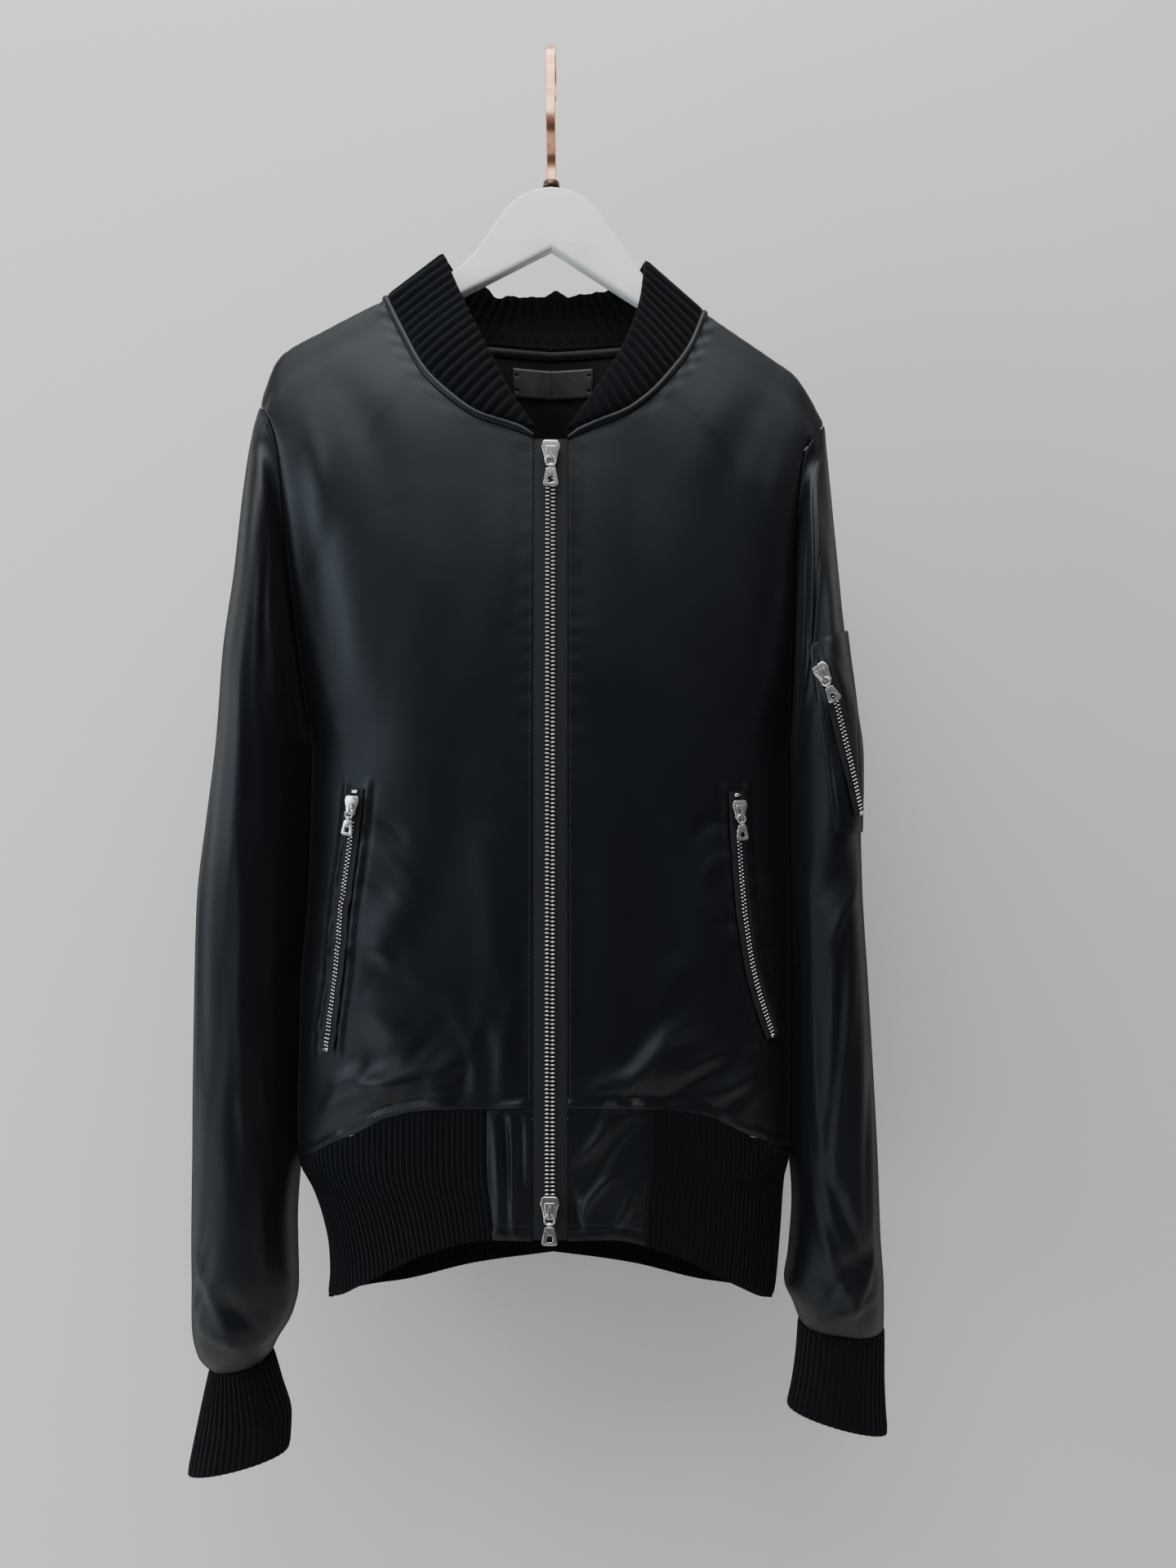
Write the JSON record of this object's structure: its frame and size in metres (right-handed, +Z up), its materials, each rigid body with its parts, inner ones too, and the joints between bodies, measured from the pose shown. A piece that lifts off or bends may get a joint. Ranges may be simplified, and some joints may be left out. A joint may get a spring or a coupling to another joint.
{
  "type": "bomber jacket on its hanger",
  "caption": "Black satin bomber jacket with rib-knit collar, cuffs and hem and silver zips, hanging closed on a white wooden hanger with a copper strip hook",
  "frame": {"origin": "the inner top of the hook, where it bears on the rail that holds the hanger", "axes": "+Z up, the jacket's front faces -Y, +X towards the wearer's left sleeve"},
  "size_m": [0.4999, 0.1246, 1.019],
  "materials": {
    "satin": "black satin with a soft sheen",
    "rib_knit": "matt blue-black rib knit",
    "zip_tape": "woven black tape with silver metal teeth",
    "zip_metal": "polished silver-coloured metal",
    "label_leather": "smooth black leather",
    "hanger_paint": "white satin paint on wood",
    "ferrule_metal": "dark bronze",
    "hook_metal": "brushed copper-coloured strip"
  },
  "bodies": {
    "root": {"front_left": "satin", "front_right": "satin", "back": "satin", "sleeve_left": "satin", "sleeve_right": "satin", "hem_panel_left": "satin", "hem_panel_right": "satin", "neck_binding": "satin", "neck_facing": "satin", "sleeve_pocket": "satin", "collar": "rib_knit", "hem_rib": "rib_knit", "cuff_left": "rib_knit", "cuff_right": "rib_knit", "front_zip_left": "zip_tape", "front_zip_right": "zip_tape", "pocket_zip_left": "zip_tape", "pocket_zip_right": "zip_tape", "sleeve_zip": "zip_tape", "cuff_zip_left": "zip_tape", "cuff_zip_right": "zip_tape", "slider_top": "zip_metal", "slider_bottom": "zip_metal", "slider_pocket_left": "zip_metal", "slider_pocket_right": "zip_metal", "slider_sleeve": "zip_metal", "slider_cuff_left": "zip_metal", "slider_cuff_right": "zip_metal", "neck_label": "label_leather", "hanger": "hanger_paint", "ferrule": "ferrule_metal", "hook": "hook_metal"},
    "pull_top": {"ring_top": "zip_metal", "tab_top": "zip_metal"},
    "pull_bottom": {"ring_bottom": "zip_metal", "tab_bottom": "zip_metal"},
    "pull_pocket_left": {"ring_pocket_left": "zip_metal", "tab_pocket_left": "zip_metal"},
    "pull_pocket_right": {"ring_pocket_right": "zip_metal", "tab_pocket_right": "zip_metal"},
    "pull_sleeve": {"ring_sleeve": "zip_metal", "tab_sleeve": "zip_metal"},
    "pull_cuff_left": {"ring_cuff_left": "zip_metal", "tab_cuff_left": "zip_metal"},
    "pull_cuff_right": {"ring_cuff_right": "zip_metal", "tab_cuff_right": "zip_metal"}
  },
  "joints": [
    {"name": "swing_top", "type": "hinge", "parent": "root", "child": "pull_top", "pos_m": [0.00138, -0.05368, -0.30306], "axis": [-0.9979, -0.064, 0.0062], "range_deg": [0, 130]},
    {"name": "swing_bottom", "type": "hinge", "parent": "root", "child": "pull_bottom", "pos_m": [0.00088, -0.06556, -0.80783], "axis": [-0.9998, 0.0195, 0.0011], "range_deg": [0, 130]},
    {"name": "swing_pocket_left", "type": "hinge", "parent": "root", "child": "pull_pocket_left", "pos_m": [0.12981, -0.05, -0.54366], "axis": [-0.9385, -0.3436, -0.0337], "range_deg": [0, 130]},
    {"name": "swing_pocket_right", "type": "hinge", "parent": "root", "child": "pull_pocket_right", "pos_m": [-0.13472, -0.04902, -0.54049], "axis": [-0.929, 0.3597, 0.0872], "range_deg": [0, 130]},
    {"name": "swing_sleeve", "type": "hinge", "parent": "root", "child": "pull_sleeve", "pos_m": [0.18285, -0.06202, -0.45252], "axis": [-0.7982, 0.4164, -0.4354], "range_deg": [0, 130]},
    {"name": "swing_cuff_left", "type": "hinge", "parent": "root", "child": "pull_cuff_left", "pos_m": [0.21535, 0.0249, -0.97315], "axis": [0.994, -0.1096, -0.0043], "range_deg": [0, 130]},
    {"name": "swing_cuff_right", "type": "hinge", "parent": "root", "child": "pull_cuff_right", "pos_m": [-0.2332, 0.02487, -0.9997], "axis": [0.9813, 0.1083, -0.1594], "range_deg": [0, 130]}
  ]
}
